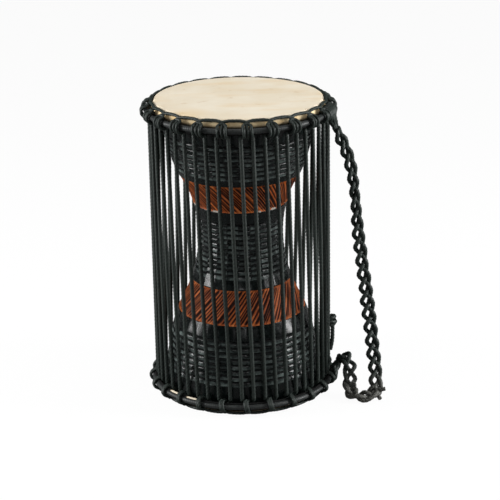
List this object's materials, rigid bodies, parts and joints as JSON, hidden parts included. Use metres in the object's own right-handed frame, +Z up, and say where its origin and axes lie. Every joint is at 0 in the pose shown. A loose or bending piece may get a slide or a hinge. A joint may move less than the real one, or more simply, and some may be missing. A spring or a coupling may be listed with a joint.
{
  "type": "talking drum",
  "caption": "Hourglass drum with a skin head at each end, hooped and laced with cords that are squeezed under the arm to bend its pitch, with a plaited shoulder strap.",
  "frame": {"origin": "centre of the lower head's face, which the drum stands on", "axes": "+Z up along the drum's axis, -Y towards the viewer of the picture, +X to the right, where the strap hangs"},
  "size_m": [0.2417, 0.1976, 0.308],
  "materials": {
    "wood": "black stain, semi-gloss",
    "skin": "matt rawhide",
    "rope": "black twisted cord",
    "hoop": "satin black"
  },
  "bodies": {
    "drum": {"shell": "wood", "top_head": "skin", "bottom_head": "skin", "top_hoop": "hoop", "bottom_hoop": "hoop", "top_cradle_rope": "rope", "bottom_cradle_rope": "rope", "top_lacing_bights": "rope", "bottom_lacing_bights": "rope", "strap": "rope", "strap_top_hitch": "rope", "strap_bottom_hitch": "rope", "strap_floor_knot": "rope", "strap_end_knot": "rope"},
    "right_cords_1_upper": {"right_cords_1_upper": "rope"},
    "right_cords_1_lower": {"right_cords_1_lower": "rope"},
    "right_cords_2_upper": {"right_cords_2_upper": "rope"},
    "right_cords_2_lower": {"right_cords_2_lower": "rope", "tie_off_knot": "rope"},
    "right_cords_3_upper": {"right_cords_3_upper": "rope"},
    "right_cords_3_lower": {"right_cords_3_lower": "rope"},
    "right_cords_4_upper": {"right_cords_4_upper": "rope"},
    "right_cords_4_lower": {"right_cords_4_lower": "rope"},
    "back_cords_1_upper": {"back_cords_1_upper": "rope"},
    "back_cords_1_lower": {"back_cords_1_lower": "rope"},
    "back_cords_2_upper": {"back_cords_2_upper": "rope"},
    "back_cords_2_lower": {"back_cords_2_lower": "rope"},
    "back_cords_3_upper": {"back_cords_3_upper": "rope"},
    "back_cords_3_lower": {"back_cords_3_lower": "rope"},
    "back_cords_4_upper": {"back_cords_4_upper": "rope"},
    "back_cords_4_lower": {"back_cords_4_lower": "rope"},
    "left_cords_1_upper": {"left_cords_1_upper": "rope"},
    "left_cords_1_lower": {"left_cords_1_lower": "rope"},
    "left_cords_2_upper": {"left_cords_2_upper": "rope"},
    "left_cords_2_lower": {"left_cords_2_lower": "rope"},
    "left_cords_3_upper": {"left_cords_3_upper": "rope"},
    "left_cords_3_lower": {"left_cords_3_lower": "rope"},
    "left_cords_4_upper": {"left_cords_4_upper": "rope"},
    "left_cords_4_lower": {"left_cords_4_lower": "rope"},
    "front_cords_1_upper": {"front_cords_1_upper": "rope"},
    "front_cords_1_lower": {"front_cords_1_lower": "rope"},
    "front_cords_2_upper": {"front_cords_2_upper": "rope"},
    "front_cords_2_lower": {"front_cords_2_lower": "rope"},
    "front_cords_3_upper": {"front_cords_3_upper": "rope"},
    "front_cords_3_lower": {"front_cords_3_lower": "rope"},
    "front_cords_4_upper": {"front_cords_4_upper": "rope"},
    "front_cords_4_lower": {"front_cords_4_lower": "rope"}
  },
  "joints": [
    {"name": "squeeze_right", "type": "hinge", "parent": "drum", "child": "right_cords_1_upper", "pos_m": [0.07187, -0.04757, 0.2881], "axis": [0.5519, 0.8339, 0], "range_deg": [0, 7], "stiffness_Nm_per_rad": 2},
    {"name": "right_1_lower_bend", "type": "hinge", "parent": "right_cords_1_upper", "child": "right_cords_1_lower", "pos_m": [0.0763, -0.0505, 0.154], "axis": [0.5519, 0.8339, 0], "range_deg": [-14, 0], "stiffness_Nm_per_rad": 1},
    {"name": "right_2_upper_bend", "type": "hinge", "parent": "drum", "child": "right_cords_2_upper", "pos_m": [0.08461, -0.01645, 0.2881], "axis": [0.1908, 0.9816, 0], "range_deg": [0, 7], "stiffness_Nm_per_rad": 2},
    {"name": "right_2_lower_bend", "type": "hinge", "parent": "right_cords_2_upper", "child": "right_cords_2_lower", "pos_m": [0.08982, -0.01746, 0.154], "axis": [0.1908, 0.9816, 0], "range_deg": [-14, 0], "stiffness_Nm_per_rad": 1},
    {"name": "right_3_upper_bend", "type": "hinge", "parent": "drum", "child": "right_cords_3_upper", "pos_m": [0.08446, 0.01718, 0.2881], "axis": [-0.1994, 0.9799, 0], "range_deg": [0, 7], "stiffness_Nm_per_rad": 2},
    {"name": "right_3_lower_bend", "type": "hinge", "parent": "right_cords_3_upper", "child": "right_cords_3_lower", "pos_m": [0.08966, 0.01824, 0.154], "axis": [-0.1994, 0.9799, 0], "range_deg": [-14, 0], "stiffness_Nm_per_rad": 1},
    {"name": "right_4_upper_bend", "type": "hinge", "parent": "drum", "child": "right_cords_4_upper", "pos_m": [0.07146, 0.0482, 0.2881], "axis": [-0.5592, 0.829, 0], "range_deg": [0, 7], "stiffness_Nm_per_rad": 2},
    {"name": "right_4_lower_bend", "type": "hinge", "parent": "right_cords_4_upper", "child": "right_cords_4_lower", "pos_m": [0.07586, 0.05117, 0.154], "axis": [-0.5592, 0.829, 0], "range_deg": [-14, 0], "stiffness_Nm_per_rad": 1},
    {"name": "squeeze_back", "type": "hinge", "parent": "drum", "child": "back_cords_1_upper", "pos_m": [0.04757, 0.07187, 0.2881], "axis": [-0.8339, 0.5519, 0], "range_deg": [0, 7], "stiffness_Nm_per_rad": 2},
    {"name": "back_1_lower_bend", "type": "hinge", "parent": "back_cords_1_upper", "child": "back_cords_1_lower", "pos_m": [0.0505, 0.0763, 0.154], "axis": [-0.8339, 0.5519, 0], "range_deg": [-14, 0], "stiffness_Nm_per_rad": 1},
    {"name": "back_2_upper_bend", "type": "hinge", "parent": "drum", "child": "back_cords_2_upper", "pos_m": [0.01645, 0.08461, 0.2881], "axis": [-0.9816, 0.1908, 0], "range_deg": [0, 7], "stiffness_Nm_per_rad": 2},
    {"name": "back_2_lower_bend", "type": "hinge", "parent": "back_cords_2_upper", "child": "back_cords_2_lower", "pos_m": [0.01746, 0.08982, 0.154], "axis": [-0.9816, 0.1908, 0], "range_deg": [-14, 0], "stiffness_Nm_per_rad": 1},
    {"name": "back_3_upper_bend", "type": "hinge", "parent": "drum", "child": "back_cords_3_upper", "pos_m": [-0.01718, 0.08446, 0.2881], "axis": [-0.9799, -0.1994, 0], "range_deg": [0, 7], "stiffness_Nm_per_rad": 2},
    {"name": "back_3_lower_bend", "type": "hinge", "parent": "back_cords_3_upper", "child": "back_cords_3_lower", "pos_m": [-0.01824, 0.08966, 0.154], "axis": [-0.9799, -0.1994, 0], "range_deg": [-14, 0], "stiffness_Nm_per_rad": 1},
    {"name": "back_4_upper_bend", "type": "hinge", "parent": "drum", "child": "back_cords_4_upper", "pos_m": [-0.0482, 0.07146, 0.2881], "axis": [-0.829, -0.5592, 0], "range_deg": [0, 7], "stiffness_Nm_per_rad": 2},
    {"name": "back_4_lower_bend", "type": "hinge", "parent": "back_cords_4_upper", "child": "back_cords_4_lower", "pos_m": [-0.05117, 0.07586, 0.154], "axis": [-0.829, -0.5592, 0], "range_deg": [-14, 0], "stiffness_Nm_per_rad": 1},
    {"name": "squeeze_left", "type": "hinge", "parent": "drum", "child": "left_cords_1_upper", "pos_m": [-0.07187, 0.04757, 0.2881], "axis": [-0.5519, -0.8339, 0], "range_deg": [0, 7], "stiffness_Nm_per_rad": 2},
    {"name": "left_1_lower_bend", "type": "hinge", "parent": "left_cords_1_upper", "child": "left_cords_1_lower", "pos_m": [-0.0763, 0.0505, 0.154], "axis": [-0.5519, -0.8339, 0], "range_deg": [-14, 0], "stiffness_Nm_per_rad": 1},
    {"name": "left_2_upper_bend", "type": "hinge", "parent": "drum", "child": "left_cords_2_upper", "pos_m": [-0.08461, 0.01645, 0.2881], "axis": [-0.1908, -0.9816, 0], "range_deg": [0, 7], "stiffness_Nm_per_rad": 2},
    {"name": "left_2_lower_bend", "type": "hinge", "parent": "left_cords_2_upper", "child": "left_cords_2_lower", "pos_m": [-0.08982, 0.01746, 0.154], "axis": [-0.1908, -0.9816, 0], "range_deg": [-14, 0], "stiffness_Nm_per_rad": 1},
    {"name": "left_3_upper_bend", "type": "hinge", "parent": "drum", "child": "left_cords_3_upper", "pos_m": [-0.08446, -0.01718, 0.2881], "axis": [0.1994, -0.9799, 0], "range_deg": [0, 7], "stiffness_Nm_per_rad": 2},
    {"name": "left_3_lower_bend", "type": "hinge", "parent": "left_cords_3_upper", "child": "left_cords_3_lower", "pos_m": [-0.08966, -0.01824, 0.154], "axis": [0.1994, -0.9799, 0], "range_deg": [-14, 0], "stiffness_Nm_per_rad": 1},
    {"name": "left_4_upper_bend", "type": "hinge", "parent": "drum", "child": "left_cords_4_upper", "pos_m": [-0.07146, -0.0482, 0.2881], "axis": [0.5592, -0.829, 0], "range_deg": [0, 7], "stiffness_Nm_per_rad": 2},
    {"name": "left_4_lower_bend", "type": "hinge", "parent": "left_cords_4_upper", "child": "left_cords_4_lower", "pos_m": [-0.07586, -0.05117, 0.154], "axis": [0.5592, -0.829, 0], "range_deg": [-14, 0], "stiffness_Nm_per_rad": 1},
    {"name": "squeeze_front", "type": "hinge", "parent": "drum", "child": "front_cords_1_upper", "pos_m": [-0.04757, -0.07187, 0.2881], "axis": [0.8339, -0.5519, 0], "range_deg": [0, 7], "stiffness_Nm_per_rad": 2},
    {"name": "front_1_lower_bend", "type": "hinge", "parent": "front_cords_1_upper", "child": "front_cords_1_lower", "pos_m": [-0.0505, -0.0763, 0.154], "axis": [0.8339, -0.5519, 0], "range_deg": [-14, 0], "stiffness_Nm_per_rad": 1},
    {"name": "front_2_upper_bend", "type": "hinge", "parent": "drum", "child": "front_cords_2_upper", "pos_m": [-0.01645, -0.08461, 0.2881], "axis": [0.9816, -0.1908, 0], "range_deg": [0, 7], "stiffness_Nm_per_rad": 2},
    {"name": "front_2_lower_bend", "type": "hinge", "parent": "front_cords_2_upper", "child": "front_cords_2_lower", "pos_m": [-0.01746, -0.08982, 0.154], "axis": [0.9816, -0.1908, 0], "range_deg": [-14, 0], "stiffness_Nm_per_rad": 1},
    {"name": "front_3_upper_bend", "type": "hinge", "parent": "drum", "child": "front_cords_3_upper", "pos_m": [0.01718, -0.08446, 0.2881], "axis": [0.9799, 0.1994, 0], "range_deg": [0, 7], "stiffness_Nm_per_rad": 2},
    {"name": "front_3_lower_bend", "type": "hinge", "parent": "front_cords_3_upper", "child": "front_cords_3_lower", "pos_m": [0.01824, -0.08966, 0.154], "axis": [0.9799, 0.1994, 0], "range_deg": [-14, 0], "stiffness_Nm_per_rad": 1},
    {"name": "front_4_upper_bend", "type": "hinge", "parent": "drum", "child": "front_cords_4_upper", "pos_m": [0.0482, -0.07146, 0.2881], "axis": [0.829, 0.5592, 0], "range_deg": [0, 7], "stiffness_Nm_per_rad": 2},
    {"name": "front_4_lower_bend", "type": "hinge", "parent": "front_cords_4_upper", "child": "front_cords_4_lower", "pos_m": [0.05117, -0.07586, 0.154], "axis": [0.829, 0.5592, 0], "range_deg": [-14, 0], "stiffness_Nm_per_rad": 1}
  ],
  "couplings": [
    {"joint": "right_1_lower_bend", "follows": "squeeze_right", "ratio": -2},
    {"joint": "right_2_upper_bend", "follows": "squeeze_right", "ratio": 1},
    {"joint": "right_2_lower_bend", "follows": "squeeze_right", "ratio": -2},
    {"joint": "right_3_upper_bend", "follows": "squeeze_right", "ratio": 1},
    {"joint": "right_3_lower_bend", "follows": "squeeze_right", "ratio": -2},
    {"joint": "right_4_upper_bend", "follows": "squeeze_right", "ratio": 1},
    {"joint": "right_4_lower_bend", "follows": "squeeze_right", "ratio": -2},
    {"joint": "back_1_lower_bend", "follows": "squeeze_back", "ratio": -2},
    {"joint": "back_2_upper_bend", "follows": "squeeze_back", "ratio": 1},
    {"joint": "back_2_lower_bend", "follows": "squeeze_back", "ratio": -2},
    {"joint": "back_3_upper_bend", "follows": "squeeze_back", "ratio": 1},
    {"joint": "back_3_lower_bend", "follows": "squeeze_back", "ratio": -2},
    {"joint": "back_4_upper_bend", "follows": "squeeze_back", "ratio": 1},
    {"joint": "back_4_lower_bend", "follows": "squeeze_back", "ratio": -2},
    {"joint": "left_1_lower_bend", "follows": "squeeze_left", "ratio": -2},
    {"joint": "left_2_upper_bend", "follows": "squeeze_left", "ratio": 1},
    {"joint": "left_2_lower_bend", "follows": "squeeze_left", "ratio": -2},
    {"joint": "left_3_upper_bend", "follows": "squeeze_left", "ratio": 1},
    {"joint": "left_3_lower_bend", "follows": "squeeze_left", "ratio": -2},
    {"joint": "left_4_upper_bend", "follows": "squeeze_left", "ratio": 1},
    {"joint": "left_4_lower_bend", "follows": "squeeze_left", "ratio": -2},
    {"joint": "front_1_lower_bend", "follows": "squeeze_front", "ratio": -2},
    {"joint": "front_2_upper_bend", "follows": "squeeze_front", "ratio": 1},
    {"joint": "front_2_lower_bend", "follows": "squeeze_front", "ratio": -2},
    {"joint": "front_3_upper_bend", "follows": "squeeze_front", "ratio": 1},
    {"joint": "front_3_lower_bend", "follows": "squeeze_front", "ratio": -2},
    {"joint": "front_4_upper_bend", "follows": "squeeze_front", "ratio": 1},
    {"joint": "front_4_lower_bend", "follows": "squeeze_front", "ratio": -2}
  ]
}
